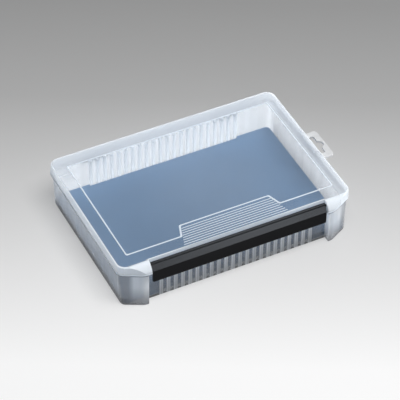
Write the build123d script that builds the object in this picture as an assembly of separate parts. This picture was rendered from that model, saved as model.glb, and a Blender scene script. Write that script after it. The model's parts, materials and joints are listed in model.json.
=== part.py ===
from build123d import *
import math
import os

# A flat clear case for lures, with a hinged lid, a flip latch along the front, a slit foam sheet
# on the floor and a hang tab at its right end. Millimetres, with X along the front, Y to the back
# and Z up. The origin is the middle of the underside, and the case is drawn closed.

# Overall size, over the lid's skirt
case_length = 205.0
case_depth = 145.0
case_height = 42.5

# Plan of the closed case: rounded back corners and slanted front corners
back_corner_radius = 8.5
side_corner_radius = 8.0
ease_radius = 12.0
slant_angle = 27.0
slant_length = 19.3

# Lid
skirt_height = 9.0
lid_wall = 1.3
lid_draft = 0.8
lid_edge_radius = 1.2
nose_extra_radius = 0.2
bay_half_length = 77.3
rim_offset = 7.9
rim_edge_radius = 0.7
ear_edge_radius = 0.4
panel_side_margin = 11.9
panel_back_margin = 14.3
panel_front_margin = 19.1
frame_width = 1.25
frame_height = 0.3
frame_edge_radius = 0.25
panel_corner_radius = 1.6
grip_half_length = 39.2
grip_depth = 11.5
grip_flare = 4.1
grip_ridge_count = 8
grip_ridge_pitch = 2.43
grip_ridge_width = 0.7
grip_ridge_height = 0.3
grip_ridge_margin = 3.5
grip_ridge_end_gap = 1.2
grip_ridge_edge_radius = 0.2

# Tray
tray_wall = 1.4
floor_thickness = 1.3
wall_inset = 1.6
back_wall_inset = 2.5
tray_draft = 1.2
post_inset = 1.1
tray_foot_radius = 1.2
front_wall_offset = 7.1
post_step = 2.2
post_edge_radius = 0.8
flange_thickness = 1.5
flange_inset = 0.4
flange_edge_radius = 0.3
parting_gap = 0.2
catch_reach = 3.2
lip_height = 1.0
lip_thickness = 1.15
lip_clearance = 0.5
wall_rib_count = 22
wall_rib_pitch = 6.3
wall_rib_width = 2.4
wall_rib_depth = 1.9
wall_rib_edge_radius = 0.7

# Foam sheet and the tape under it
tape_thickness = 0.2
tape_width = 20.0
tape_spacing = 60.0
tape_end_margin = 12.0
foam_thickness = 5.0
foam_clearance = 0.4
slit_width = 0.15
slit_depth = 3.5
slit_pitch = 10.0
slit_margin = 9.0

# Latch bar, hung from the two front corners of the lid
latch_end_gap = 0.9
latch_thickness = 1.8
latch_top_inset = 5.5
latch_top_drop = 1.6
latch_face_inset = 0.8
latch_crease_drop = 7.7
latch_length = 17.8
latch_tip_radius = 0.5
latch_edge_radius = 0.35
latch_end_radius = 1.2
bead_drop = 1.9
bead_radius = 0.5
bead_height = 0.3
pivot_inset = 4.9
pivot_drop = 4.0
pivot_radius = 1.0
pivot_clearance = 0.05
pivot_root = 1.5
catch_clearance = 0.3
catch_height = 2.4
catch_lead = 0.8
catch_end_margin = 12.0

# Rear hinges
hinge_end_inset = 42.5
lid_knuckle_length = 11.4
tray_knuckle_length = 6.0
knuckle_radius = 2.0
knuckle_gap = 0.3
knuckle_drop = 0.1
hinge_inset = 0.2
hinge_pin_radius = 1.0
hinge_pin_clearance = 0.05
hinge_pin_recess = 0.3
hinge_leaf_height = 4.0

# Hang tab, clipped through a slot in the lid's right skirt
tab_half_width = 16.0
tab_thickness = 2.0
tab_reach = 11.6
tab_lift = 0.2
tab_corner = 3.0
tab_edge_radius = 0.3
hang_slot_half_length = 10.9
hang_slot_width = 4.3
hang_slot_corner = 1.9
hang_slot_margin = 2.2
hang_peak_radius = 4.2
hang_peak_reach = 3.3
tab_neck_half_width = 10.0
tab_slot_clearance = 0.1
tab_foot_half_width = 13.0
tab_foot_height = 3.4
tab_foot_thickness = 1.6
tab_foot_clearance = 0.3

# How far a cutter overruns, how far a joined piece enters its wall, and how far an edge may be off its line
overrun = 1.0
weld_depth = 0.1
hair = 0.01

# Levels and lines that follow from the sizes above
skirt_z = case_height - skirt_height
flange_top_z = skirt_z - parting_gap
flange_bottom_z = flange_top_z - flange_thickness
lip_top_z = flange_top_z + lip_height
front_y = -case_depth / 2
back_y = case_depth / 2
rim_y = front_y + rim_offset
nose_radius = skirt_height + nose_extra_radius
front_wall_y = front_y + front_wall_offset
post_x = bay_half_length + post_step
cavity_inset = wall_inset + tray_wall
cavity_back_inset = back_wall_inset + tray_wall
mouth_y = rim_y + lid_wall + lip_clearance + lip_thickness
flange_front_y = front_wall_y - catch_reach
hinge_x = case_length / 2 - hinge_end_inset
hinge_y = back_y - hinge_inset
hinge_z = flange_top_z - knuckle_radius - knuckle_drop
pivot_y = front_y + pivot_inset
pivot_z = case_height - pivot_drop
rib_zone_half_length = (wall_rib_count - 1) / 2 * wall_rib_pitch + wall_rib_width / 2
foam_bottom_z = floor_thickness + tape_thickness
tab_bottom_z = lip_top_z + tab_lift
tab_top_z = tab_bottom_z + tab_thickness


def case_plan(z, inset, back=None, front=None):
    """The plan of the case at a level, drawn in at the ends, the back and the slanted front."""
    back = inset if back is None else back
    front = inset if front is None else front
    slope = math.tan(math.radians(slant_angle))
    lift = front / math.cos(math.radians(slant_angle))
    ease_x = case_length / 2 - slant_length
    side = case_length / 2 - inset
    ease = (ease_x + (front - lift) / slope, front_y + front)
    bend = (side, front_y + lift + (side - ease_x) * slope)
    corner = (side, back_y - back)
    right = [ease, bend, corner]
    left = [(-x, y) for x, y in reversed(right)]
    radii = [ease_radius - inset, side_corner_radius - inset, back_corner_radius - inset]
    outline = FilletPolyline(*right, *left, radius=radii + radii[::-1], close=True)
    return Pos(0, 0, z) * make_face(outline).face()


def box_between(low, high):
    """A box from its low corner to its high corner."""
    size = [b - a for a, b in zip(low, high)]
    return Pos(*low) * Box(*size, align=(Align.MIN, Align.MIN, Align.MIN))


def bar_along_x(points, x_low, x_high):
    """A bar along X with the section that these (y, z) points outline."""
    section = make_face(Polyline(*points, close=True))
    return Pos(x_low, 0, 0) * extrude(Plane.YZ * section, x_high - x_low)


def rod_along_x(radius, x_low, x_high, y, z):
    """A round rod along X."""
    return Pos(x_low, y, z) * extrude(Plane.YZ * Circle(radius), x_high - x_low)


def both_ends(solid):
    """A solid and its mirror image at the other end of the case."""
    return solid + mirror(solid, about=Plane.YZ)


def nose_bar(inset):
    """All that lies behind the rounded nose of the lid's front corners and under its top."""
    radius = nose_radius - inset
    centre_y = front_y + nose_radius
    top = case_height - inset
    crest = math.asin((top - skirt_z) / radius)
    bend = math.radians(180) - crest / 2
    start = (centre_y - radius, skirt_z)
    middle = (centre_y + radius * math.cos(bend), skirt_z + radius * math.sin(bend))
    end = (centre_y - radius * math.cos(crest), top)
    edges = [
        ThreePointArc(start, middle, end),
        Polyline(end, (case_depth, top), (case_depth, skirt_z), start),
    ]
    section = make_face(edges)
    return Pos(-case_length, 0, 0) * extrude(Plane.YZ * section, 2 * case_length)


def lid_block(inset):
    """The lid's outside, or its hollow when drawn in by the wall."""
    lower = case_plan(skirt_z, inset)
    upper = case_plan(case_height - inset, lid_draft + inset, front=inset)
    block = Solid.make_loft([lower.outer_wire(), upper.outer_wire()], ruled=True)
    radius = max(lid_edge_radius - inset, 0)
    if radius > 0:
        block = fillet(block.edges().group_by(Axis.Z)[-1], radius)
    bay = box_between(
        (-bay_half_length - inset, front_y - overrun, skirt_z - overrun),
        (bay_half_length + inset, rim_y + inset, case_height + overrun),
    )
    return block & nose_bar(inset) - bay


def panel_outline(z, margin):
    """The outline round the lid's middle, which steps back around the grip, or a line beside it."""
    side = case_length / 2 - panel_side_margin + margin
    back = back_y - panel_back_margin + margin
    front = front_y + panel_front_margin - margin
    grip = front + grip_depth
    near = grip_half_length + grip_flare - margin
    far = grip_half_length - margin
    points = [(side, back), (-side, back), (-side, front), (-near, front), (-far, grip), (far, grip)]
    points += [(near, front), (side, front)]
    outline = FilletPolyline(*points, radius=panel_corner_radius, close=True)
    return Pos(0, 0, z) * make_face(outline).face()


def raised_frame():
    """The fine raised line round the lid's middle."""
    base_z = case_height - frame_height
    outer = extrude(panel_outline(base_z, frame_width / 2), 2 * frame_height)
    frame = outer - extrude(panel_outline(base_z, -frame_width / 2), 2 * frame_height)
    return fillet(frame.edges().group_by(Axis.Z)[-1], frame_edge_radius)


def grip_ridges():
    """Fine ridges across the top of the lid's front edge, in the step of the raised frame."""
    ridges = []
    start_y = front_y + panel_front_margin + grip_depth - grip_ridge_margin
    for row in range(grip_ridge_count):
        down = row * grip_ridge_pitch
        half = grip_half_length - grip_ridge_end_gap + (down + grip_ridge_margin) * grip_flare / grip_depth
        y = start_y - down
        ridge = Pos(0, y, case_height) * Box(2 * half, grip_ridge_width, 2 * grip_ridge_height)
        ridges.append(fillet(ridge.edges().filter_by(Axis.X).group_by(Axis.Z)[-1], grip_ridge_edge_radius))
    return ridges


def lid_knuckle(x):
    """One barrel of the lid, with the leaf that joins it to the back of the skirt."""
    low = x - lid_knuckle_length / 2
    high = x + lid_knuckle_length / 2
    rear = hinge_y + knuckle_radius
    inner = back_y - lid_wall + weld_depth
    leaf_top = skirt_z + hinge_leaf_height
    leaf = bar_along_x(
        [
            (hinge_y, hinge_z),
            (rear, hinge_z),
            (rear, leaf_top - knuckle_radius),
            (inner, leaf_top),
            (inner, skirt_z),
            (hinge_y, skirt_z),
        ],
        low,
        high,
    )
    barrel = rod_along_x(knuckle_radius, low, high, hinge_y, hinge_z)
    return leaf + barrel


def round_lid_edges(lid):
    """Rounds the rim behind the latch and the ends of the two front corners."""
    top_edges = lid.edges().filter_by(Axis.X).group_by(Axis.Z)[-1]
    lid = fillet([edge for edge in top_edges if abs(edge.center().Y - rim_y) < hair], rim_edge_radius)
    ears = []
    for edge in lid.edges():
        size = edge.bounding_box()
        upright = size.size.X < hair and abs(abs(size.max.X) - bay_half_length) < hair
        if upright and size.min.Y < rim_y - hair and size.max.Y < rim_y + hair and size.max.Z > pivot_z:
            ears.append(edge)
    return fillet(ears, ear_edge_radius)


def make_lid():
    """The clear lid: a shallow shell with a raised frame, a grip, two latch pivots and two hinges."""
    lid = round_lid_edges(lid_block(0) - lid_block(lid_wall))
    lid += raised_frame()
    for ridge in grip_ridges():
        lid += ridge
    pivot_hole = rod_along_x(
        pivot_radius + pivot_clearance,
        bay_half_length - overrun,
        bay_half_length + lid_wall + overrun,
        pivot_y,
        pivot_z,
    )
    lid -= both_ends(pivot_hole)
    lid += both_ends(lid_knuckle(hinge_x))
    bore = rod_along_x(
        hinge_pin_radius + hinge_pin_clearance,
        hinge_x - lid_knuckle_length,
        hinge_x + lid_knuckle_length,
        hinge_y,
        hinge_z,
    )
    lid -= both_ends(bore)
    half = tab_neck_half_width + tab_slot_clearance
    low = (case_length / 2 - lid_wall - lid_draft - overrun, -half, tab_bottom_z - tab_slot_clearance)
    high = (case_length / 2 + overrun, half, tab_top_z + tab_slot_clearance)
    lid -= box_between(low, high)
    return lid


def tray_block(bottom, thickness):
    """The tray's outside, or its cavity when drawn in by the wall, up to the flange."""
    side = wall_inset + thickness
    back = back_wall_inset + thickness
    front = post_inset + thickness
    foot = case_plan(bottom, side + tray_draft, back=back + tray_draft, front=front)
    rim = case_plan(flange_top_z, side, back=back, front=front)
    block = Solid.make_loft([foot.outer_wire(), rim.outer_wire()], ruled=True)
    if thickness == 0:
        block = fillet(block.edges().group_by(Axis.Z)[0], tray_foot_radius)
    return block


def front_recess(half_length, depth_y):
    """The space in front of a wall between the corner posts."""
    return box_between((-half_length, front_y - overrun, -overrun), (half_length, depth_y, case_height))


def tray_rim():
    """The flange round the mouth, and the lip on it that locates the lid."""
    flange = extrude(case_plan(flange_bottom_z, flange_inset), flange_thickness)
    flange -= front_recess(bay_half_length + flange_inset, flange_front_y)
    loops = flange.edges().group_by(Axis.Z)
    flange = fillet(loops[0] + loops[-1], flange_edge_radius)
    lip_inset = lid_wall + lip_clearance
    lip = extrude(case_plan(flange_top_z, lip_inset), lip_height)
    lip -= front_recess(bay_half_length + lip_inset, rim_y + lip_inset)
    front_inset = lip_inset + lip_thickness
    outline = case_plan(flange_bottom_z, cavity_inset, back=cavity_back_inset, front=front_inset)
    mouth = extrude(outline, lip_top_z)
    mouth -= front_recess(bay_half_length + front_inset, mouth_y)
    return flange + lip - mouth


def wall_ribs():
    """Upright ribs inside the front and back walls, reaching into the walls."""
    ribs = []
    back_face = back_y - cavity_back_inset - tray_draft - wall_rib_depth
    front_face = front_wall_y + tray_wall + wall_rib_depth
    foot = floor_thickness / 2
    for number in range(wall_rib_count):
        x = (number - (wall_rib_count - 1) / 2) * wall_rib_pitch
        low = x - wall_rib_width / 2
        high = x + wall_rib_width / 2
        back_rib = box_between((low, back_face, foot), (high, back_y, flange_bottom_z))
        inner_edges = back_rib.edges().filter_by(Axis.Z).group_by(Axis.Y)[0]
        ribs.append(fillet(inner_edges, wall_rib_edge_radius))
        front_rib = box_between((low, front_wall_y, foot), (high, front_face, flange_bottom_z))
        inner_edges = front_rib.edges().filter_by(Axis.Z).group_by(Axis.Y)[-1]
        ribs.append(fillet(inner_edges, wall_rib_edge_radius))
    return ribs


def tray_knuckles(x):
    """The two barrels of the tray at one hinge, with the webs that join them to the back wall."""
    inner = lid_knuckle_length / 2 + knuckle_gap
    outer = inner + tray_knuckle_length
    wall_y = back_y - back_wall_inset - tray_wall / 2
    knuckles = []
    low_z = hinge_z - knuckle_radius
    high_z = hinge_z + knuckle_radius
    for low, high in ((x - outer, x - inner), (x + inner, x + outer)):
        web = box_between((low, wall_y, low_z), (high, hinge_y, high_z))
        knuckles.append(web + rod_along_x(knuckle_radius, low, high, hinge_y, hinge_z))
    return knuckles[0] + knuckles[1]


def make_tray():
    """The clear tray: recessed front wall between hollow corner posts, flange, lip, ribs and hinges."""
    shell = tray_block(0, 0) - front_recess(post_x, front_wall_y)
    corners = []
    for edge in shell.edges():
        size = edge.bounding_box()
        upright = size.size.Z > case_height / 2 and size.size.Y < hair
        if upright and abs(abs(size.max.X) - post_x) < hair and size.max.Y < front_wall_y - hair:
            corners.append(edge)
    shell = fillet(corners, post_edge_radius)
    cavity = tray_block(floor_thickness, tray_wall)
    cavity -= front_recess(post_x + tray_wall, front_wall_y + tray_wall)
    tray = shell - cavity + tray_rim()
    for rib in wall_ribs():
        tray += rib & shell
    notch_half = lid_knuckle_length / 2 + knuckle_gap
    notch = box_between(
        (hinge_x - notch_half, back_y - back_wall_inset, flange_bottom_z - overrun),
        (hinge_x + notch_half, back_y + knuckle_radius, flange_top_z),
    )
    tray -= both_ends(notch)
    tray += both_ends(tray_knuckles(hinge_x))
    tray -= both_ends(hinge_pin(hinge_x, recess=-overrun))
    return tray


def hinge_pin(x, recess=hinge_pin_recess):
    """A plain pin through the three barrels of one hinge."""
    half = lid_knuckle_length / 2 + knuckle_gap + tray_knuckle_length - recess
    return rod_along_x(hinge_pin_radius, x - half, x + half, hinge_y, hinge_z)


def foam_plan():
    """The floor between the walls and clear of the wall ribs, without the corner posts."""
    inset = cavity_inset + tray_draft + foam_clearance
    back_inset = cavity_back_inset + tray_draft + foam_clearance
    front_inset = post_inset + tray_wall + foam_clearance
    sheet = case_plan(foam_bottom_z, inset, back=back_inset, front=front_inset)
    front = front_wall_y + tray_wall + foam_clearance
    half = rib_zone_half_length + foam_clearance
    posts = Pos(0, front_y) * Rectangle(case_length, 2 * (front - front_y))
    back_notch = Pos(0, back_y - back_inset) * Rectangle(2 * half, 2 * wall_rib_depth)
    front_notch = Pos(0, front) * Rectangle(2 * half, 2 * wall_rib_depth)
    for cut in (posts, back_notch, front_notch):
        sheet -= Pos(0, 0, foam_bottom_z) * cut
    return sheet


def make_foam():
    """The foam sheet, with straight slits along X that stop short of its ends."""
    foam = extrude(foam_plan(), foam_thickness)
    size = foam.bounding_box()
    middle_y = size.center().Y
    run = size.size.Y - 2 * (wall_rib_depth + slit_margin)
    count = int(run / slit_pitch) + 1
    length = size.size.X - 2 * slit_margin
    for number in range(count):
        y = middle_y + (number - (count - 1) / 2) * slit_pitch
        foam -= Pos(0, y, size.max.Z) * Box(length, slit_width, 2 * slit_depth)
    return foam


def make_tape():
    """Three strips of double-sided tape between the foam and the floor."""
    front = front_wall_y + tray_wall + wall_rib_depth + tape_end_margin
    back = back_y - cavity_back_inset - tray_draft - wall_rib_depth - tape_end_margin
    strips = []
    for number in (-1, 0, 1):
        x = number * tape_spacing
        low = (x - tape_width / 2, front, floor_thickness)
        strips.append(box_between(low, (x + tape_width / 2, back, foam_bottom_z)))
    return Compound(children=strips)


def latch_section():
    """The latch's bent strip, as (y, z) points from its top edge round to its inner bend."""
    top = Vector(front_y + latch_top_inset, case_height - latch_top_drop)
    crease = Vector(front_y + latch_face_inset, case_height - latch_crease_drop)
    foot_z = case_height - latch_top_drop - latch_length
    lean = (crease - top).normalized()
    inward = Vector(-lean.Y, lean.X)
    inner_top = top + inward * latch_thickness
    inner_y = crease.X + latch_thickness
    inner_bend_z = inner_top.Y + (inner_y - inner_top.X) * lean.Y / lean.X
    return [
        (top.X, top.Y),
        (crease.X, crease.Y),
        (crease.X, foot_z),
        (inner_y, foot_z),
        (inner_y, inner_bend_z),
        (inner_top.X, inner_top.Y),
    ]


def make_latch():
    """The black latch bar: a bent strip with pivots at its ends and a catch behind its flap."""
    half = bay_half_length - latch_end_gap
    points = latch_section()
    bar = bar_along_x(points, -half, half)
    bar = fillet(bar.edges().filter_by(Axis.Y).group_by(Axis.Z)[0], latch_end_radius)
    long_edges = bar.edges().filter_by(Axis.X)
    bar = fillet(long_edges.group_by(Axis.Z)[-1], latch_tip_radius)
    foot_edges = bar.edges().filter_by(Axis.X).group_by(Axis.Z)[0]
    bar = fillet(foot_edges, latch_edge_radius)
    top = Vector(*points[0])
    crease_point = Vector(*points[1])
    lean = (crease_point - top).normalized()
    outward = Vector(lean.Y, -lean.X)
    bead_at = top + lean * bead_drop - outward * (bead_radius - bead_height)
    bar += rod_along_x(bead_radius, -half, half, bead_at.X, bead_at.Y)
    inner_y = points[3][0]
    catch_tip_y = flange_front_y - catch_clearance
    catch = bar_along_x(
        [
            (inner_y - latch_thickness / 2, flange_bottom_z - catch_height),
            (inner_y, flange_bottom_z - catch_height),
            (catch_tip_y, flange_bottom_z - catch_lead),
            (catch_tip_y, flange_bottom_z),
            (inner_y - latch_thickness / 2, flange_bottom_z + catch_lead),
        ],
        catch_end_margin - half,
        half - catch_end_margin,
    )
    bar += catch
    pivot = rod_along_x(pivot_radius, half - pivot_root, bay_half_length + lid_wall, pivot_y, pivot_z)
    return bar + both_ends(pivot)


def hang_slot(x_inner, z_low, z_high):
    """The tab's hang slot: a straight slot with a rounded peak in the middle of its outer side."""
    half_width = hang_slot_width / 2
    x = x_inner + half_width
    slot = Pos(x, 0) * Rectangle(hang_slot_width, 2 * hang_slot_half_length)
    slot = fillet(slot.vertices(), hang_slot_corner)
    peak = Pos(x + half_width + hang_peak_reach - hang_peak_radius, 0) * Circle(hang_peak_radius)
    return Pos(0, 0, z_low) * extrude(slot + peak, z_high - z_low)


def make_hang_tab():
    """The white hang tab: an outer plate with a hang slot, a neck and a foot inside the skirt."""
    bottom = tab_bottom_z
    top = tab_top_z
    skirt_lean = lid_draft / skirt_height
    shoulder = case_length / 2 - skirt_lean * (bottom - skirt_z) + tab_slot_clearance
    outer = case_length / 2 + tab_reach
    inner_face = case_length / 2 - lid_wall - skirt_lean * (top - skirt_z)
    plate = box_between((shoulder, -tab_half_width, bottom), (outer, tab_half_width, top))
    corners = plate.edges().filter_by(Axis.Z).group_by(Axis.X)[-1]
    plate = fillet(corners, tab_corner)
    rims = plate.edges().group_by(Axis.Z)
    plate = fillet(rims[0] + rims[-1], tab_edge_radius)
    plate -= hang_slot(shoulder + hang_slot_margin, bottom - overrun, top + overrun)
    foot_outer = inner_face - tab_foot_clearance
    foot_inner = foot_outer - tab_foot_thickness
    foot_bottom = lip_top_z + tab_foot_clearance
    foot = box_between(
        (foot_inner, -tab_foot_half_width, foot_bottom),
        (foot_outer, tab_foot_half_width, foot_bottom + tab_foot_height),
    )
    neck = box_between(
        (foot_outer - tab_foot_thickness / 2, -tab_neck_half_width, bottom),
        (shoulder + hang_slot_margin / 2, tab_neck_half_width, top),
    )
    return plate + neck + foot


nodes = {
    "base_tray": make_tray(),
    "lid": make_lid(),
    "latch_bar": make_latch(),
    "slit_foam": make_foam(),
    "foam_tape_strips": make_tape(),
    "hang_tab": make_hang_tab(),
    "hinge_pin_left": hinge_pin(-hinge_x),
    "hinge_pin_right": hinge_pin(hinge_x),
}

os.makedirs("parts", exist_ok=True)
for name, shape in nodes.items():
    export_step(shape, f"parts/{name}.step")
    print(name, round(shape.volume, 1), shape.is_valid)
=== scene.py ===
"""Looks for a shallow clear lure case: tray, lid, black flip latch, slit foam and hang tab."""

import json
import math

import bpy
from mathutils import Matrix, Vector

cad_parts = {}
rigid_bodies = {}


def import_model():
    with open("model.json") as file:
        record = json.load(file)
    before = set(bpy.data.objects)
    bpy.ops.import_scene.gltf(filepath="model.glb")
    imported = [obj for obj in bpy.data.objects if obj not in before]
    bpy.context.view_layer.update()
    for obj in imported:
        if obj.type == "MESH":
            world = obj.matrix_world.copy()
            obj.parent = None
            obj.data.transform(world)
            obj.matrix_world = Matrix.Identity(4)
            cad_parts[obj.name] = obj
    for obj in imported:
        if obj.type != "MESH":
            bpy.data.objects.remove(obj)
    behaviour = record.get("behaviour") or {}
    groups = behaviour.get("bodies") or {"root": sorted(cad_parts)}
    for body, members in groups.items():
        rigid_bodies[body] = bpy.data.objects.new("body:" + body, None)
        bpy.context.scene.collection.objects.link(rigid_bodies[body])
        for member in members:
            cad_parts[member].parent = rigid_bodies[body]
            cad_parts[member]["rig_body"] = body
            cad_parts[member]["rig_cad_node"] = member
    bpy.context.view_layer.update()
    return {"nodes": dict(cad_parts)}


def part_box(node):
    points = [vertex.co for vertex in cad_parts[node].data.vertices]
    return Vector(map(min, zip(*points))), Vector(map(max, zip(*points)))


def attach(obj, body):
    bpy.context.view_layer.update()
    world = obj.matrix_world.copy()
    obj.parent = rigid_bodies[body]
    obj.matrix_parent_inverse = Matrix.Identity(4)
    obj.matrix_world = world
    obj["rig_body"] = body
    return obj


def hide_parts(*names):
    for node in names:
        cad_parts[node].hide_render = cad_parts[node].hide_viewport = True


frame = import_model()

bl_info = {
    "name": "Slit foam lure case",
    "version": (1, 0, 0),
    "blender": (4, 5, 0),
    "location": "3D View > Sidebar > Lure Case",
    "description": "Finishes a shallow clear lure case and sets up the studio around it",
    "category": "Object",
}

FOAM_LOW, FOAM_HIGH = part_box("slit_foam")

# Places in metres, with X along the latch, Y towards the hinges and Z up. A half is a distance from
# the middle of the case, to the left as to the right.
FLOOR_Z = -0.0002
CASE_FRONT = -0.080
CASE_BACK = 0.080
SKIRT_FOOT = 0.0335
LID_TOP = 0.0425
FRAME_LINE_HALF = 0.0911
FRAME_LINE_BACK = 0.0588
FRAME_LINE_WIDTH = 0.0006
REAR_CORNER_START = 0.040
LATCH_BAY_HALF = 0.0783
EARS_BACK = -0.0650
TAB_SLOT_LEFT = 0.099
TAB_SLOT_RIGHT = 0.110
TAB_SLOT_HALF = 0.0105

RECESS_HALF = 0.079
FRONT_WALL_BACK = -0.060
REAR_WALL_FRONT = 0.060
REAR_WALL_INSIDE = 0.0684
RIBBED_HALF = 0.068
FLANGE_LOW = 0.0317
FLANGE_HIGH = 0.0334
END_WALL_FRONT = -0.056
END_WALL_BACK = 0.062
END_WALL_HALF = 0.0992
END_WALL_LEAN = 0.035
POST_BEND_HALF = 0.0945
POST_BEND_WIDTH = 0.0035

# Heights over which the tray's foot gains its full haze and its full paleness. Both are painted
# shade: the tray grows darker towards its foot.
FOOT_HAZE_RISE = (0.002, 0.022)
FOOT_PALE_RISE = (0.0, 0.019)

# Where a rib's face and its lit edge stand, and over what distance from there each one fades, as
# shares of the rib spacing.
RIB_MIDDLE = 0.5
RIB_FACE_FADE = (0.19, 0.25)
RIB_EDGE = 0.31
RIB_EDGE_FADE = (0.05, 0.09)

# How far the haze wanders from its own level, as cloudy plastic does.
HAZE_FLOW = (0.8, 1.2)
# How like its face's normal a rounded normal still is where an edge begins, and where it is full.
EDGE_LIKENESS = (0.99, 0.80)

# Distances in the foam's mesh under which two places count as one, and as close by.
HAIR = 0.00001
NEAR = 0.0001
SMOOTH_ANGLE = math.radians(32)
FLAT_ANGLE = math.radians(1)
# The least foam beside the outermost slits is this much more than the foam at a slit's ends.
SLIT_SIDE_EXTRA = 0.0019
# Cuts across and at the ends of a slit, in slit lips.
SLIT_CUTS = (-12, -4, -1, 0, 1, 4, 12)
SLIT_END_CUTS = (-8, 0, 8)

# The floor grows darker away from the camera, a painted fall-off of the studio light: where that
# starts and ends, the greys at both, and the greys at shares of the way between.
FLOOR_FADE = (-0.165, 0.28)
FLOOR_NEAR = 1.0
FLOOR_FAR = 0.35
FLOOR_BETWEEN = {0.35: 0.71, 0.7: 0.45}

# The size and place of each lamp, which all turn to the middle of the case.
LAMPS = {
    "key": ((0.7, 0.18), (1.41, -0.33, 0.11)),
    "top": ((1.0, 0.7), (0.10, -0.52, 1.46)),
    "back": ((1.4, 0.18), (0.40, 1.45, 0.11)),
    "front": ((0.35, 0.35), (0.50, -1.23, 0.67)),
    "sheen": ((0.34, 0.26), (0.53, 0.99, 1.10)),
}
CASE_MIDDLE = (0, 0, 0.02)
SENSOR_WIDTH = 36


def share_field(name, description, default):
    return bpy.props.FloatProperty(
        name=name, description=description, subtype="FACTOR", default=default, min=0, max=1)


def colour_field(name, description, default):
    return bpy.props.FloatVectorProperty(
        name=name, description=description, subtype="COLOR", default=default, min=0, max=1)


def distance_field(name, description, default, low, high):
    return bpy.props.FloatProperty(
        name=name, description=description, subtype="DISTANCE", default=default, min=low, max=high)


def angle_field(name, description, degrees):
    return bpy.props.FloatProperty(
        name=name, description=description, subtype="ANGLE", default=math.radians(degrees))


def power_field(name, description, default):
    return bpy.props.FloatProperty(
        name=name, description=description, subtype="POWER", default=default, min=0)


class ShellLook(bpy.types.PropertyGroup):
    """The clear plastic of the lid and the frosted plastic of the tray."""

    haze_colour: colour_field(
        "Haze colour", "Colour of the milky plastic", (0.92, 0.94, 0.96))
    lid_tint: colour_field(
        "Lid tint", "Colour that the clear lid lets through", (0.97, 0.98, 0.99))
    # Painted highlight: the cooler tone of the raised lines, the skirt's foot and the front
    # corners.
    line_highlight_colour: colour_field(
        "Lid line colour", "Cooler tone of the raised lines and of the skirt's foot",
        (0.86, 0.93, 1.0))
    lid_haze: share_field(
        "Lid haze", "Share of milky plastic at each flat face of the lid", 0.03)
    lid_side_haze: share_field(
        "Lid side haze", "Share of milky plastic added where the lid turns down to its skirt", 0.42)
    lid_bend_haze: share_field(
        "Lid bend haze", "Share of milky plastic added in the bend above the skirt alone", 0.4)
    # Painted highlight: extra milk makes the raised lines and the skirt's foot read as bright
    # lines.
    lid_line_haze: share_field(
        "Lid line haze", "Share of milky plastic in the raised lines and the skirt's foot", 0.80)
    # Painted highlight: the front corners are made milkier, glow as the lines do and take their
    # cooler tone.
    ear_haze: share_field(
        "Front corner haze", "Share of milky plastic added in the lid's front corners", 0.3)
    ear_glow: share_field(
        "Front corner glow", "How far the front corners glow as a raised line does", 0.6)
    ear_cool: share_field(
        "Front corner tone", "How far the front corners take the raised lines' tone", 0.4)
    tab_slot_haze: share_field(
        "Tab slot haze", "Share of milky plastic round the slot that holds the hang tab", 0.6)
    # Painted light: the border is milkier behind the frame line, at its rear corners and beyond its
    # right end, where the lamps stand. The left end stays clear.
    rear_haze: share_field(
        "Rear border haze", "Share of milky plastic added behind the raised frame line", 0.45)
    end_haze: share_field(
        "End border haze", "Share of milky plastic added beside the frame line", 0.4)
    lid_glow: share_field(
        "Lid glow", "Share of its light that the lid's milky plastic passes on", 0.6)
    lid_line_glow: share_field(
        "Lid line glow", "Share of its light that a raised line passes on", 0.1)
    bead_rise: share_field(
        "Bead rise", "How far the skirt's foot turns up to catch light, as a bead does", 0.9)
    tray_tint: colour_field(
        "Tray tint", "Colour that the frosted tray lets through", (0.96, 0.97, 0.98))
    tray_haze: share_field(
        "Tray haze", "Share of milky plastic at each face of the tray", 0.50)
    rear_wall_haze: share_field(
        "Rear wall haze", "Share of milky plastic added in the tray's rear wall", 0.15)
    # Partly painted highlight: extra milk along the tray's edges stands in for the light that its
    # rounded edges catch.
    tray_edge_haze: share_field(
        "Tray edge haze", "Share of milky plastic added along the tray's edges", 0.4)
    tray_glow: share_field(
        "Tray glow", "Share of its light that the tray's milky plastic passes on", 0.62)
    recess_haze: share_field(
        "Recess haze", "Share of milky plastic in the wall behind the latch", 0.10)
    # Painted shade: the wall behind the latch lets through a darker colour, for the shade under the
    # latch.
    recess_shade_tint: colour_field(
        "Recess tint", "Colour that the wall behind the latch lets through", (0.62, 0.64, 0.66))
    rib_haze: share_field(
        "Rib haze", "Share of milky plastic added where an upright rib thickens a wall", 0.90)
    rib_face: share_field(
        "Rib face", "How milky a rib's face is, against its lit edge", 0.68)
    rib_spacing: distance_field(
        "Rib spacing", "Distance from one wall rib to the next", 0.0063, 0.002, 0.02)
    # Painted shade: the tray loses haze and takes the darker foot shade colour towards its foot, so
    # that it grows darker there.
    foot_haze: share_field(
        "Foot haze", "Share of the tray's haze that is left at its foot", 0.80)
    foot_shade_colour: colour_field(
        "Foot colour", "Darker tone of the milky plastic towards the tray's foot",
        (0.38, 0.39, 0.41))
    # Holds the painted shade at the foot partly off the wall behind the latch.
    recess_pale: share_field(
        "Recess paleness", "How far the wall behind the latch keeps from the darker tone", 0.7)
    # Painted shade on the outsides of both end walls.
    end_wall_pale: share_field(
        "End wall paleness", "Share of paleness left on the outside of the tray's end walls", 0.35)
    # Painted shade: a dark band in the outer bends of the corner posts.
    post_bend_pale: share_field(
        "Post bend paleness", "Share of paleness left in the outer bends of the corner posts", 0.2)
    # Painted shadow: a dark line on the flange under the lid's skirt, save at the rear.
    flange_pale: share_field(
        "Flange paleness", "Share of paleness left on the flange, save at the rear", 0.1)
    edge_radius: distance_field(
        "Edge radius", "How far from a moulded edge the plastic catches light",
        0.0008, 0.0001, 0.003)


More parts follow.
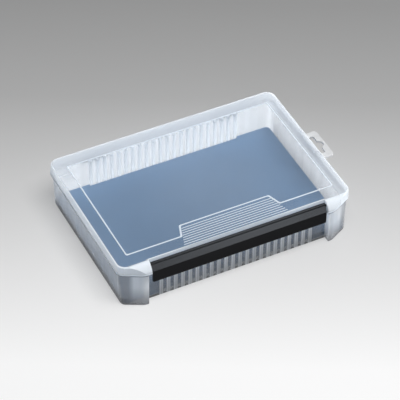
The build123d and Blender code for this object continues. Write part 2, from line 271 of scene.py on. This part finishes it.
class FoamLook(bpy.types.PropertyGroup):
    """The slit foam sheet."""

    colour: colour_field(
        "Foam colour", "Grey blue of the closed-cell foam", (0.110, 0.198, 0.322))
    slit_spacing: distance_field(
        "Slit spacing", "Distance from one slit to the next", 0.010, 0.004, 0.03)
    slit_margin: distance_field(
        "Slit margin", "Plain foam left at the slits' ends", 0.009, 0.002, 0.03)
    slit_lip: distance_field(
        "Slit lip", "Half the width of a closed slit's rounded mouth", 0.00006, 0.00002, 0.001)
    slit_dip: distance_field(
        "Slit dip", "Depth of a closed slit's mouth", 0.0003, 0.0001, 0.003)
    edge_round: distance_field(
        "Edge rounding", "Rounding of the sheet's cut top edge", 0.0003, 0.0001, 0.001)


class TrimLook(bpy.types.PropertyGroup):
    """The latch, the hang tab, the tape and the pins."""

    latch_colour: colour_field(
        "Latch colour", "Satin black of the latch bar", (0.002, 0.002, 0.0025))
    tab_colour: colour_field(
        "Tab colour", "Opaque white of the hang tab", (0.66, 0.67, 0.68))
    tape_colour: colour_field(
        "Tape colour", "Pale film of the foam tape", (0.72, 0.70, 0.64))
    pin_colour: colour_field(
        "Pin colour", "Drawn steel of the hinge pins", (0.60, 0.61, 0.63))


class StageLook(bpy.types.PropertyGroup):
    """The floor, the lamps and the camera."""

    camera_azimuth: angle_field(
        "Camera azimuth", "Turn of the camera about the case, from straight in front", -27.33585)
    camera_elevation: angle_field(
        "Camera elevation", "Height of the camera above the floor, as an angle", 43.41975)
    camera_roll: angle_field(
        "Camera roll", "Tilt of the camera about its own line of sight", 1.07105)
    camera_distance: distance_field(
        "Camera distance", "From the camera to the point that it looks at", 1.7589, 0.2, 10)
    camera_target: bpy.props.FloatVectorProperty(
        name="Camera target", description="The point that the camera looks at",
        subtype="TRANSLATION", default=(-0.000894, -0.001586, 0.020))
    camera_lens: bpy.props.FloatProperty(
        name="Lens", description="Focal length in millimetres on a 36 mm wide frame",
        default=196.43, min=10, max=500)
    key_power: power_field(
        "Key power", "Power of the large low lamp to the right", 21.0)
    top_power: power_field(
        "Top power", "Power of the soft lamp above the case", 19.5)
    back_power: power_field(
        "Back power", "Power of the low lamp behind the case", 24.0)
    front_power: power_field(
        "Front power", "Power of the small front lamp, which reaches the latch and the tray alone",
        6.0)
    sheen_power: power_field(
        "Sheen power", "Power of the weak lamp whose sheen lies on the middle of the lid", 0.12)
    floor_glow: share_field(
        "Floor glow", "Share of the floor's paleness that no shadow reaches", 0.45)
    floor_bounce: share_field(
        "Floor bounce", "Share of its light that the floor throws back on the case", 0.35)
    sky_strength: bpy.props.FloatProperty(
        name="Sky strength", description="Strength of the even light from all round",
        default=0.15, min=0, max=2)
    backdrop_strength: share_field(
        "Backdrop strength", "Paleness of the studio behind the floor and in reflections", 0.45)


def deselect_all():
    if bpy.context.mode != "OBJECT":
        bpy.ops.object.mode_set(mode="OBJECT")
    bpy.ops.object.select_all(action="DESELECT")


def choose(obj):
    """Makes one object the only one selected and the active one."""
    deselect_all()
    obj.hide_set(False)
    obj.select_set(True)
    bpy.context.view_layer.objects.active = obj


def pick_faces(obj, test):
    """Selects the faces of an object in edit mode whose centre and normal pass a test."""
    bpy.ops.mesh.select_all(action="DESELECT")
    bpy.ops.mesh.select_mode(type="FACE")
    bpy.ops.object.mode_set(mode="OBJECT")
    for face in obj.data.polygons:
        face.select = test(face.center, face.normal)
    bpy.ops.object.mode_set(mode="EDIT")


def pick_points(obj, test):
    """Selects the points of an object in edit mode whose place passes a test."""
    bpy.ops.mesh.select_all(action="DESELECT")
    bpy.ops.mesh.select_mode(type="VERT")
    bpy.ops.object.mode_set(mode="OBJECT")
    for point in obj.data.vertices:
        point.select = test(point.co)
    bpy.ops.object.mode_set(mode="EDIT")


def cut_mesh(place, normal):
    """Cuts the whole mesh in edit mode along a plane, and keeps both sides."""
    bpy.ops.mesh.select_all(action="SELECT")
    bpy.ops.mesh.bisect(
        plane_co=place, plane_no=normal, use_fill=False, clear_inner=False, clear_outer=False)


def aim(obj, place, target):
    """Puts a lamp at a place and turns it towards a point."""
    obj.location = place
    obj.rotation_euler = (Vector(target) - Vector(place)).to_track_quat("-Z", "Y").to_euler()


def scaled(colour, factor):
    return tuple(min(1.0, c * factor) for c in colour)


class Finish:
    """A new material, with short ways to add and join its nodes."""

    def __init__(self, name):
        self.material = bpy.data.materials.new(name)
        self.material.use_nodes = True
        self.tree = self.material.node_tree
        self.tree.nodes.clear()
        self.out = self.tree.nodes.new("ShaderNodeOutputMaterial")
        self.place = self.add("ShaderNodeTexCoord").outputs["Object"]

    def add(self, kind, inputs=None, **settings):
        """Adds a node, with a value or another node's output at each named input."""
        node = self.tree.nodes.new(kind)
        for key, value in settings.items():
            setattr(node, key, value)
        for key, value in (inputs or {}).items():
            if isinstance(value, bpy.types.NodeSocket):
                self.tree.links.new(value, node.inputs[key])
            else:
                node.inputs[key].default_value = value
        return node

    def maths(self, kind, first, second=0.0, clamp=False):
        inputs = {0: first, 1: second}
        return self.add("ShaderNodeMath", inputs, operation=kind, use_clamp=clamp).outputs[0]

    def times(self, first, second):
        return self.maths("MULTIPLY", first, second)

    def most(self, first, *others):
        """The largest of several masks."""
        for other in others:
            first = self.maths("MAXIMUM", first, other)
        return first

    def spread(self, value, low, high, start=0.3, end=0.7):
        """Maps a value from start..end to low..high, and holds it there beyond them."""
        return self.add("ShaderNodeMapRange", {
            "Value": value, "From Min": start, "From Max": end,
            "To Min": low, "To Max": high}).outputs[0]

    def faded(self, value, mask, left):
        """A value that only keeps a share of itself where a mask is set."""
        return self.times(value, self.spread(mask, 1.0, left, 0.0, 1.0))

    def blend(self, mask, first, second):
        """Mixes two colours, each three numbers or another node's output, by a mask."""
        first, second = (
            end if isinstance(end, bpy.types.NodeSocket) else (*end, 1) for end in (first, second))
        return self.add("ShaderNodeMix", {
            "Factor": mask, "A": first, "B": second}, data_type="RGBA").outputs["Result"]

    def tone(self, noise, dark, light):
        """Mixes two colours by a noise value."""
        return self.blend(self.spread(noise, 0.0, 1.0), dark, light)

    def noise(self, scale, detail=2.0, roughness=0.5, stretch=(1, 1, 1)):
        where = self.add("ShaderNodeMapping", {"Vector": self.place, "Scale": stretch}).outputs[0]
        return self.add("ShaderNodeTexNoise", {
            "Vector": where, "Scale": scale, "Detail": detail,
            "Roughness": roughness}).outputs["Fac"]

    def bump(self, height, strength, distance, normal=None):
        inputs = {"Height": height, "Strength": strength, "Distance": distance}
        if normal is not None:
            inputs["Normal"] = normal
        return self.add("ShaderNodeBump", inputs).outputs[0]

    def along(self, axis):
        """Where a point lies along an axis of its piece."""
        return self.add("ShaderNodeSeparateXYZ", {0: self.place}).outputs[axis]

    def inside(self, axis, low, high, soft):
        """One between two places along an axis, and zero beyond them, over a soft border."""
        at = self.along(axis)
        rise = self.spread(at, 0.0, 1.0, low - soft, low)
        fall = self.spread(at, 1.0, 0.0, high, high + soft)
        return self.times(rise, fall)

    def face_normal(self):
        return self.add("ShaderNodeNewGeometry").outputs["Normal"]

    def tilt(self, level, steep):
        """Zero where the surface lies flat, rising to one as it turns upright."""
        up = self.add("ShaderNodeSeparateXYZ", {0: self.face_normal()}).outputs["Z"]
        return self.spread(self.maths("ABSOLUTE", up), 0.0, 1.0, level, steep)

    def rounded(self, radius, samples=6):
        return self.add("ShaderNodeBevel", {"Radius": radius}, samples=samples).outputs[0]

    def edges(self, rounded, gain):
        """Rises towards the moulded edges, where a rounded normal leaves the face's own."""
        likeness = self.add("ShaderNodeVectorMath", {
            0: self.face_normal(), 1: rounded}, operation="DOT_PRODUCT").outputs["Value"]
        return self.spread(likeness, 0.0, gain, *EDGE_LIKENESS)

    def lifted(self, mask, rise):
        """Turns the surface's normal up towards the piece's own top where a mask is set."""
        up = self.add("ShaderNodeCombineXYZ", {"Z": self.times(mask, rise)}).outputs[0]
        turned = self.add(
            "ShaderNodeVectorTransform", {"Vector": up},
            vector_type="VECTOR", convert_from="OBJECT", convert_to="WORLD").outputs[0]
        both = self.add("ShaderNodeVectorMath", {
            0: self.face_normal(), 1: turned}, operation="ADD").outputs[0]
        return self.add("ShaderNodeVectorMath", {0: both}, operation="NORMALIZE").outputs[0]

    def shine(self, **inputs):
        return self.add("ShaderNodeBsdfPrincipled", {
            key.replace("_", " "): value for key, value in inputs.items()})

    def surface(self, shader):
        self.tree.links.new(shader, self.out.inputs["Surface"])
        return self.material


def dress(node, material):
    """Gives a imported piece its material."""
    obj = frame["nodes"][node]
    obj.data.materials.clear()
    obj.data.materials.append(material)


def milky_glass(f, share, tint, milk_colour, roughness, glow, normal, lifted=None):
    """Glass that lamps shine through, with a share of plastic that scatters and passes light."""
    clear = f.shine(
        Base_Color=tint, Roughness=roughness, IOR=1.45, Transmission_Weight=1.0, Normal=normal)
    open_air = f.add("ShaderNodeBsdfTransparent", {"Color": tint}).outputs[0]
    ray = f.add("ShaderNodeLightPath").outputs
    lamp_ray = f.most(ray["Is Shadow Ray"], ray["Is Diffuse Ray"])
    glass = f.add("ShaderNodeMixShader", {0: lamp_ray, 1: clear.outputs[0], 2: open_air}).outputs[0]
    scatter = {"Color": milk_colour}
    if lifted is not None:
        scatter["Normal"] = lifted
    near = f.add("ShaderNodeBsdfDiffuse", scatter).outputs[0]
    through = f.add("ShaderNodeBsdfTranslucent", {"Color": milk_colour}).outputs[0]
    milk = f.add("ShaderNodeMixShader", {0: glow, 1: near, 2: through}).outputs[0]
    return f.surface(f.add("ShaderNodeMixShader", {0: share, 1: glass, 2: milk}).outputs[0])


def lid_plastic(look):
    """The lid is clear where it is flat and milky where it turns down. Its raised lines, skirt's
    foot and front corners are milkier as painted highlights, and its border behind and right of the
    frame line as painted light.
    """
    f = Finish("clear_lid_plastic")
    x, y = f.along("X"), f.along("Y")
    off_middle = f.maths("ABSOLUTE", x)
    raised = f.inside("Z", LID_TOP + 0.00015, LID_TOP + 0.001, soft=0.00005)
    foot = f.inside("Z", SKIRT_FOOT - 0.0001, SKIRT_FOOT + 0.001, soft=0.0001)
    ears = f.inside("Y", CASE_FRONT, EARS_BACK, soft=0.0004)

    cloud = f.noise(scale=55, detail=3.0, roughness=0.55, stretch=(1, 1, 2))
    flow = f.spread(cloud, *(level * look.lid_haze for level in HAZE_FLOW))

    down = f.tilt(level=0.998, steep=0.93)
    bend = f.maths("SUBTRACT", down, f.tilt(level=0.45, steep=0.15))
    tab_slot = f.times(
        f.inside("X", TAB_SLOT_LEFT, TAB_SLOT_RIGHT, soft=0.002),
        f.inside("Y", -TAB_SLOT_HALF, TAB_SLOT_HALF, soft=0.005))
    turned = f.maths("ADD", f.times(down, look.lid_side_haze), f.times(bend, look.lid_bend_haze))
    # Painted highlight: extra milk on the front corners, for the light their sloping fronts catch.
    turned = f.maths("ADD", turned, f.times(ears, look.ear_haze))
    turned = f.most(turned, f.times(tab_slot, look.tab_slot_haze))

    # Painted highlights: the raised lines, the skirt's foot and the front corners' ends by the
    # latch bay get milk, pass on less light and take a cooler tone, so they read as bright lines.
    ear_end = f.times(f.spread(off_middle, 1.0, 0.0, LATCH_BAY_HALF - 0.0003, LATCH_BAY_HALF), ears)
    lines = f.times(f.most(raised, ear_end, foot), look.lid_line_haze)

    # Painted light: milk behind the frame line, at the rear corners and beyond the right end, where
    # the lamps stand. The left end stays clear.
    past_line = (FRAME_LINE_HALF - FRAME_LINE_WIDTH, FRAME_LINE_HALF)
    rear = f.spread(
        y, 0.0, look.rear_haze, FRAME_LINE_BACK - FRAME_LINE_WIDTH, FRAME_LINE_BACK)
    right_end = f.spread(x, 0.0, look.end_haze, *past_line)
    rear_corner = f.times(
        f.spread(off_middle, 0.0, 1.0, *past_line),
        f.spread(y, 0.0, look.end_haze, REAR_CORNER_START, FRAME_LINE_BACK))
    border = f.most(rear, right_end, rear_corner)

    share = f.maths("ADD", f.maths("ADD", flow, border), f.most(turned, lines), clamp=True)
    plain = f.most(raised, foot, f.times(ears, look.ear_glow))
    glow = f.spread(plain, look.lid_glow, look.lid_line_glow, 0.0, 1.0)
    cool = f.most(raised, foot, f.times(ears, look.ear_cool))
    milk = f.blend(cool, look.haze_colour, look.line_highlight_colour)
    ripple = f.bump(f.noise(scale=40, detail=1.0), strength=0.05, distance=0.0004)
    return milky_glass(
        f, share, (*look.lid_tint, 1), milk, roughness=0.05, glow=glow, normal=ripple,
        lifted=f.lifted(foot, look.bead_rise))


def tray_plastic(look):
    """The tray is frosted, clearer in the wall behind the latch, and milkiest along its edges,
    partly as painted highlight. Painted shade darkens it towards its foot, on its end walls, in its
    posts' bends, on its flange and behind the latch.
    """
    f = Finish("frosted_tray_plastic")
    x, up = f.along("X"), f.along("Z")
    off_middle = f.maths("ABSOLUTE", x)
    front = f.inside("Y", CASE_FRONT, FRONT_WALL_BACK, soft=0.002)
    recess = f.times(f.inside("X", -RECESS_HALF, RECESS_HALF, soft=0.0005), front)
    back = f.inside("Y", REAR_WALL_FRONT, CASE_BACK, soft=0.004)

    turn = f.maths("FRACT", f.maths("DIVIDE", x, look.rib_spacing))
    off_rib = f.maths("ABSOLUTE", f.maths("SUBTRACT", turn, RIB_MIDDLE))
    off_edge = f.maths("ABSOLUTE", f.maths("SUBTRACT", turn, RIB_EDGE))
    rib = f.most(
        f.spread(off_rib, look.rib_face, 0.0, *RIB_FACE_FADE),
        f.spread(off_edge, 1.0, 0.0, *RIB_EDGE_FADE))
    rib = f.times(rib, f.inside("X", -RIBBED_HALF, RIBBED_HALF, soft=0.0005))
    rear_inside = f.inside("Y", REAR_WALL_FRONT, REAR_WALL_INSIDE, soft=0.0003)
    rib = f.times(rib, f.maths("ADD", recess, rear_inside))

    haze = f.spread(recess, look.tray_haze, look.recess_haze, 0.0, 1.0)
    haze = f.maths("ADD", haze, f.times(back, look.rear_wall_haze))
    haze = f.maths("ADD", haze, f.times(rib, look.rib_haze))
    haze = f.times(haze, f.spread(up, look.foot_haze, 1.0, *FOOT_HAZE_RISE))
    flow = f.spread(f.noise(scale=90, stretch=(1, 1, 0.12)), *HAZE_FLOW)
    rounded = f.rounded(look.edge_radius)
    # Partly painted highlight: extra milk along the edges stands in for the light that the rounded
    # edges catch.
    share = f.maths("ADD", f.times(haze, flow), f.edges(rounded, look.tray_edge_haze), clamp=True)

    # Painted shade: where pale is low the milk takes the foot shade colour, towards the foot and,
    # below, on the end walls, in the posts' bends and on the flange.
    above_foot = f.spread(up, 0.0, 1.0, *FOOT_PALE_RISE)
    pale = f.most(back, f.times(recess, look.recess_pale), above_foot)
    # Painted shade on the outsides of both end walls.
    outward = f.maths("SUBTRACT", off_middle, f.times(up, END_WALL_LEAN))
    end_wall = f.times(
        f.spread(outward, 0.0, 1.0, END_WALL_HALF - 0.0004, END_WALL_HALF),
        f.inside("Y", END_WALL_FRONT, END_WALL_BACK, soft=0.004))
    # Painted shade: a dark band in the outer bends of the corner posts.
    post_bend = f.times(
        f.spread(off_middle, 0.0, 1.0, POST_BEND_HALF - POST_BEND_WIDTH, POST_BEND_HALF), front)
    # Painted shadow: a dark line on the flange under the lid's skirt, save at the rear.
    flange = f.times(
        f.inside("Z", FLANGE_LOW, FLANGE_HIGH, soft=0.0001), f.spread(back, 1.0, 0.0, 0.0, 1.0))
    pale = f.faded(pale, end_wall, look.end_wall_pale)
    pale = f.faded(pale, post_bend, look.post_bend_pale)
    pale = f.faded(pale, flange, look.flange_pale)

    # Painted shade behind the latch: the recess lets through a darker colour.
    tint = f.blend(recess, look.tray_tint, look.recess_shade_tint)
    milk = f.blend(pale, look.foot_shade_colour, look.haze_colour)
    return milky_glass(
        f, share, tint, milk, roughness=0.12, glow=look.tray_glow, normal=rounded)


class LURECASE_OT_clear_shell(bpy.types.Operator):
    """Give the lid its clear plastic and the tray its frosted plastic"""

    bl_idname = "lurecase.clear_shell"
    bl_label = "Finish Lid and Tray"

    def execute(self, context):
        look = context.scene.lurecase_shell
        dress("lid", lid_plastic(look))
        dress("base_tray", tray_plastic(look))
        return {"FINISHED"}


class LURECASE_OT_foam(bpy.types.Operator):
    """Make the foam sheet with its closed slits, in the place of the plain sheet"""

    bl_idname = "lurecase.foam"
    bl_label = "Make Slit Foam"

    def execute(self, context):
        look = context.scene.lurecase_foam
        foam = self.cut_sheet(look)
        self.open_slits(foam, look)
        bpy.ops.object.mode_set(mode="EDIT")
        bpy.ops.mesh.select_all(action="SELECT")
        bpy.ops.mesh.normals_make_consistent(inside=False)
        bpy.ops.object.mode_set(mode="OBJECT")
        bpy.ops.object.shade_smooth_by_angle(angle=SMOOTH_ANGLE)
        foam.data.materials.clear()
        foam.data.materials.append(self.foam_finish(look))
        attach(foam, "base")
        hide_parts("slit_foam")
        return {"FINISHED"}

    def cut_sheet(self, look):
        """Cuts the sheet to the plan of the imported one, up to its full thickness."""
        choose(frame["nodes"]["slit_foam"])
        bpy.ops.object.duplicate()
        foam = bpy.context.view_layer.objects.active
        foam.name = "foam_sheet"
        foam.parent = None
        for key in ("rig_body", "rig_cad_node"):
            if key in foam:
                del foam[key]
        choose(foam)
        bpy.ops.object.mode_set(mode="EDIT")
        bpy.ops.mesh.select_all(action="SELECT")
        bpy.ops.mesh.remove_doubles(threshold=HAIR)
        pick_faces(foam, lambda at, way: way.z > -0.99 or at.z > FOAM_LOW.z + NEAR)
        bpy.ops.mesh.delete(type="FACE")
        bpy.ops.mesh.select_all(action="SELECT")
        bpy.ops.mesh.dissolve_limited(angle_limit=FLAT_ANGLE)
        bpy.ops.mesh.select_all(action="SELECT")
        rise = FOAM_HIGH.z - FOAM_LOW.z
        bpy.ops.mesh.extrude_region_move(TRANSFORM_OT_translate={"value": (0, 0, rise)})
        pick_faces(foam, lambda at, way: abs(way.z) > 0.99 and at.z > FOAM_HIGH.z - NEAR)
        bpy.ops.mesh.region_to_loop()
        bpy.ops.mesh.bevel(offset=look.edge_round, segments=3, affect="EDGES")
        return foam

    def open_slits(self, foam, look):
        """Presses the rounded mouth of each closed slit into the sheet's top."""
        middle = (FOAM_LOW.y + FOAM_HIGH.y) / 2
        run = FOAM_HIGH.y - FOAM_LOW.y - 2 * (SLIT_SIDE_EXTRA + look.slit_margin)
        count = int(run / look.slit_spacing) + 1
        reach = (FOAM_HIGH.x - FOAM_LOW.x) / 2 - look.slit_margin
        rows = [middle + (n - (count - 1) / 2) * look.slit_spacing for n in range(count)]
        for y in rows:
            for step in SLIT_CUTS:
                cut_mesh((0, y + step * look.slit_lip, 0), (0, 1, 0))
        for x in (-reach, reach):
            for step in SLIT_END_CUTS:
                cut_mesh((x + step * look.slit_lip, 0, 0), (1, 0, 0))

        def on_slit(at, gap):
            on_top = at.z > FOAM_HIGH.z - 2 * HAIR
            between_ends = abs(at.x) < reach + HAIR
            return on_top and between_ends and any(abs(at.y - y) < gap for y in rows)

        pick_points(foam, lambda at: on_slit(at, 0.3 * look.slit_lip))
        bpy.ops.transform.translate(value=(0, 0, -look.slit_dip))
        pick_points(foam, lambda at: on_slit(at, 1.5 * look.slit_lip))
        bpy.ops.transform.translate(value=(0, 0, -0.15 * look.slit_dip))
        bpy.ops.object.mode_set(mode="OBJECT")

    def foam_finish(self, look):
        f = Finish("grey_blue_foam")
        cells = f.add("ShaderNodeTexVoronoi", {"Vector": f.place, "Scale": 2600.0})
        cloud = f.noise(scale=28, detail=4.0, roughness=0.6)
        grain = f.noise(scale=900, detail=3.0, roughness=0.6)
        colour = f.tone(cloud, scaled(look.colour, 0.94), scaled(look.colour, 1.06))
        speck = f.blend(f.spread(grain, 0.0, 0.35, 0.35, 0.75), colour, scaled(look.colour, 1.25))
        swell = f.bump(cloud, strength=0.2, distance=0.0006)
        skin = f.shine(
            Base_Color=speck, Roughness=f.spread(grain, 0.80, 0.95), Sheen_Weight=0.12,
            Normal=f.bump(cells.outputs["Distance"], strength=0.35, distance=0.0002, normal=swell))
        return f.surface(skin.outputs[0])


class LURECASE_OT_tape(bpy.types.Operator):
    """Give the tape under the foam its pale film"""

    bl_idname = "lurecase.tape"
    bl_label = "Finish Foam Tape"

    def execute(self, context):
        base = context.scene.lurecase_trim.tape_colour
        f = Finish("pale_tape_film")
        weave = f.noise(scale=700, detail=3.0, roughness=0.6, stretch=(1, 6, 1))
        skin = f.shine(
            Base_Color=f.tone(weave, scaled(base, 0.9), scaled(base, 1.06)),
            Roughness=f.spread(weave, 0.35, 0.55),
            Normal=f.bump(weave, strength=0.2, distance=0.0002))
        dress("foam_tape_strips", f.surface(skin.outputs[0]))
        return {"FINISHED"}


class LURECASE_OT_latch(bpy.types.Operator):
    """Give the latch bar its satin black plastic"""

    bl_idname = "lurecase.latch"
    bl_label = "Finish Latch Bar"

    def execute(self, context):
        base = context.scene.lurecase_trim.latch_colour
        f = Finish("satin_black_plastic")
        grain = f.noise(scale=2200, detail=3.0, roughness=0.65)
        streak = f.noise(scale=60, detail=3.0, roughness=0.6, stretch=(0.15, 1, 1))
        skin = f.shine(
            Base_Color=f.tone(streak, scaled(base, 0.8), scaled(base, 1.5)),
            Roughness=f.spread(streak, 0.15, 0.19), Specular_IOR_Level=0.08,
            Specular_Tint=(0.86, 0.92, 1.0, 1),
            Normal=f.bump(
                grain, strength=0.12, distance=0.0002, normal=f.rounded(0.0002, samples=4)))
        dress("latch_bar", f.surface(skin.outputs[0]))
        return {"FINISHED"}


class LURECASE_OT_hang_tab(bpy.types.Operator):
    """Give the hang tab its opaque white plastic"""

    bl_idname = "lurecase.hang_tab"
    bl_label = "Finish Hang Tab"

    def execute(self, context):
        base = context.scene.lurecase_trim.tab_colour
        f = Finish("opaque_white_plastic")
        flow = f.noise(scale=120, detail=3.0, roughness=0.55)
        grain = f.noise(scale=1800)
        skin = f.shine(
            Base_Color=f.tone(flow, scaled(base, 0.97), scaled(base, 1.02)),
            Roughness=f.spread(flow, 0.38, 0.48), IOR=1.49,
            Normal=f.bump(grain, strength=0.08, distance=0.0002))
        dress("hang_tab", f.surface(skin.outputs[0]))
        return {"FINISHED"}


class LURECASE_OT_hinge_pins(bpy.types.Operator):
    """Give both hinge pins their drawn steel"""

    bl_idname = "lurecase.hinge_pins"
    bl_label = "Finish Hinge Pins"

    def execute(self, context):
        base = context.scene.lurecase_trim.pin_colour
        f = Finish("drawn_steel")
        draw = f.noise(scale=500, detail=3.0, roughness=0.6, stretch=(0.05, 1, 1))
        skin = f.shine(
            Base_Color=f.tone(draw, scaled(base, 0.85), scaled(base, 1.1)), Metallic=1.0,
            Roughness=f.spread(draw, 0.25, 0.42),
            Normal=f.bump(draw, strength=0.15, distance=0.0001))
        steel = f.surface(skin.outputs[0])
        for node in ("hinge_pin_left", "hinge_pin_right"):
            dress(node, steel)
        return {"FINISHED"}


class LURECASE_OT_stage(bpy.types.Operator):
    """Set up the floor, the lamps and the camera"""

    bl_idname = "lurecase.stage"
    bl_label = "Set Up Studio"

    def execute(self, context):
        look = context.scene.lurecase_stage
        floor = self.lay_floor(look)
        self.light_sky(look)
        self.place_lamps(look, floor)
        self.place_camera(look)
        scene = bpy.context.scene
        scene.view_settings.view_transform = "Standard"
        scene.cycles.transparent_max_bounces = 32
        return {"FINISHED"}

    def lay_floor(self, look):
        deselect_all()
        bpy.ops.mesh.primitive_plane_add(size=12, location=(0, 0, FLOOR_Z))
        floor = bpy.context.view_layer.objects.active
        floor.name = "studio_floor"
        bpy.ops.object.transform_apply(location=True, rotation=True, scale=True)
        floor.data.materials.append(self.floor_finish(look))
        return floor

    def floor_finish(self, look):
        """A floor that grows darker away from the camera, as painted shade, and glows a little when
        looked at.
        """
        f = Finish("pale_studio_floor")
        ahead = (-math.sin(look.camera_azimuth), math.cos(look.camera_azimuth), 0)
        depth = f.add("ShaderNodeVectorMath", {
            0: f.place, 1: ahead}, operation="DOT_PRODUCT").outputs["Value"]
        ramp = f.add("ShaderNodeValToRGB", {"Fac": f.spread(depth, 0.0, 1.0, *FLOOR_FADE)})
        stops = ramp.color_ramp.elements
        stops[0].color = (FLOOR_NEAR, FLOOR_NEAR, FLOOR_NEAR, 1)
        stops[1].color = (FLOOR_FAR, FLOOR_FAR, FLOOR_FAR, 1)
        for place, grey in FLOOR_BETWEEN.items():
            stops.new(place).color = (grey, grey, grey, 1)
        pale = ramp.outputs["Color"]
        ray = f.add("ShaderNodeLightPath").outputs
        skin = f.shine(
            Base_Color=f.faded(pale, ray["Is Diffuse Ray"], look.floor_bounce),
            Roughness=0.9, Specular_IOR_Level=0.1,
            Normal=f.bump(f.noise(scale=1500), strength=0.02, distance=0.0002))
        glow = f.add("ShaderNodeEmission", {"Color": pale})
        looked_at = f.most(
            ray["Is Camera Ray"], ray["Is Glossy Ray"], ray["Is Transmission Ray"])
        both = f.add("ShaderNodeMixShader", {
            0: f.times(looked_at, look.floor_glow), 1: skin.outputs[0], 2: glow.outputs[0]})
        return f.surface(both.outputs[0])

    def light_sky(self, look):
        """Sets an even light all round, and a paler studio where the sky is looked at."""
        world = bpy.data.worlds.new("studio_sky")
        bpy.context.scene.world = world
        world.use_nodes = True
        tree = world.node_tree
        sky = tree.nodes["Background"]
        sky.inputs["Color"].default_value = (0.95, 0.97, 1.0, 1)
        ray = tree.nodes.new("ShaderNodeLightPath").outputs
        looked_at = ray["Is Camera Ray"]
        for other in ("Is Glossy Ray", "Is Transmission Ray"):
            either = tree.nodes.new("ShaderNodeMath")
            either.operation = "MAXIMUM"
            tree.links.new(looked_at, either.inputs[0])
            tree.links.new(ray[other], either.inputs[1])
            looked_at = either.outputs[0]
        level = tree.nodes.new("ShaderNodeMapRange")
        level.inputs["To Min"].default_value = look.sky_strength
        level.inputs["To Max"].default_value = look.backdrop_strength
        tree.links.new(looked_at, level.inputs["Value"])
        tree.links.new(level.outputs[0], sky.inputs["Strength"])

    def place_lamps(self, look, floor):
        """Places the lamps. The low ones spare the floor, and the front one spares the lid."""
        spared = bpy.data.collections.new("spared_by_low_lamps")
        spared.objects.link(floor)
        spared.collection_objects[0].light_linking.link_state = "EXCLUDE"
        lit = bpy.data.collections.new("lit_by_front_lamp")
        for node in ("latch_bar", "base_tray"):
            lit.objects.link(frame["nodes"][node])
        receivers = {"key": spared, "back": spared, "front": lit}
        for name, (size, place) in LAMPS.items():
            deselect_all()
            bpy.ops.object.light_add(type="AREA")
            lamp = bpy.context.view_layer.objects.active
            lamp.name = f"{name}_lamp"
            lamp.data.energy = getattr(look, f"{name}_power")
            lamp.data.shape = "RECTANGLE"
            lamp.data.size, lamp.data.size_y = size
            aim(lamp, place, CASE_MIDDLE)
            if name in receivers:
                lamp.light_linking.receiver_collection = receivers[name]
            if name == "sheen":
                self.soften(lamp)

    def soften(self, lamp):
        """Lets a lamp's light fade from its middle to its rim."""
        lamp.data.use_nodes = True
        tree = lamp.data.node_tree
        spot = tree.nodes.new("ShaderNodeNewGeometry").outputs["Parametric"]
        away = tree.nodes.new("ShaderNodeVectorMath")
        away.operation = "DISTANCE"
        away.inputs[1].default_value = (0.5, 0.5, 0)
        fade = tree.nodes.new("ShaderNodeMapRange")
        fade.interpolation_type = "SMOOTHERSTEP"
        fade.inputs["From Min"].default_value = 0.5
        fade.inputs["From Max"].default_value = 0.0
        tree.links.new(spot, away.inputs[0])
        tree.links.new(away.outputs["Value"], fade.inputs["Value"])
        tree.links.new(fade.outputs[0], tree.nodes["Emission"].inputs["Strength"])

    def place_camera(self, look):
        a, e, roll = look.camera_azimuth, look.camera_elevation, look.camera_roll
        back = Vector((math.sin(a) * math.cos(e), -math.cos(a) * math.cos(e), math.sin(e)))
        level = Vector((math.cos(a), math.sin(a), 0))
        upright = back.cross(level)
        right = math.cos(roll) * level + math.sin(roll) * upright
        up = math.cos(roll) * upright - math.sin(roll) * level
        place = Vector(look.camera_target) + back * look.camera_distance
        bpy.ops.object.camera_add()
        camera = bpy.context.view_layer.objects.active
        camera.name = "photo_camera"
        camera.matrix_world = Matrix((
            (right.x, up.x, back.x, place.x),
            (right.y, up.y, back.y, place.y),
            (right.z, up.z, back.z, place.z),
            (0, 0, 0, 1),
        ))
        camera.data.sensor_fit = "HORIZONTAL"
        camera.data.sensor_width = SENSOR_WIDTH
        camera.data.lens = look.camera_lens
        camera.data.clip_start = 0.01
        camera.data.clip_end = 50
        bpy.context.scene.camera = camera


class LURECASE_PT_panel(bpy.types.Panel):
    """Lists the steps that finish the case."""

    bl_idname = "LURECASE_PT_panel"
    bl_label = "Lure Case"
    bl_space_type = "VIEW_3D"
    bl_region_type = "UI"
    bl_category = "Lure Case"

    def draw(self, context):
        for step in STEPS:
            self.layout.operator(step.bl_idname)
        for group in LOOKS:
            box = self.layout.box()
            for field in LOOKS[group].__annotations__:
                box.prop(getattr(context.scene, group), field)


STEPS = (
    LURECASE_OT_clear_shell,
    LURECASE_OT_foam,
    LURECASE_OT_tape,
    LURECASE_OT_latch,
    LURECASE_OT_hang_tab,
    LURECASE_OT_hinge_pins,
    LURECASE_OT_stage,
)
LOOKS = {
    "lurecase_shell": ShellLook,
    "lurecase_foam": FoamLook,
    "lurecase_trim": TrimLook,
    "lurecase_stage": StageLook,
}


def register():
    for cls in (*LOOKS.values(), *STEPS, LURECASE_PT_panel):
        bpy.utils.register_class(cls)
    for name, cls in LOOKS.items():
        setattr(bpy.types.Scene, name, bpy.props.PointerProperty(type=cls))


def unregister():
    for name in LOOKS:
        delattr(bpy.types.Scene, name)
    for cls in reversed((*LOOKS.values(), *STEPS, LURECASE_PT_panel)):
        bpy.utils.unregister_class(cls)


def main():
    register()
    bpy.ops.lurecase.clear_shell()
    bpy.ops.lurecase.foam()
    bpy.ops.lurecase.tape()
    bpy.ops.lurecase.latch()
    bpy.ops.lurecase.hang_tab()
    bpy.ops.lurecase.hinge_pins()
    bpy.ops.lurecase.stage()


if __name__ == "__main__":
    main()
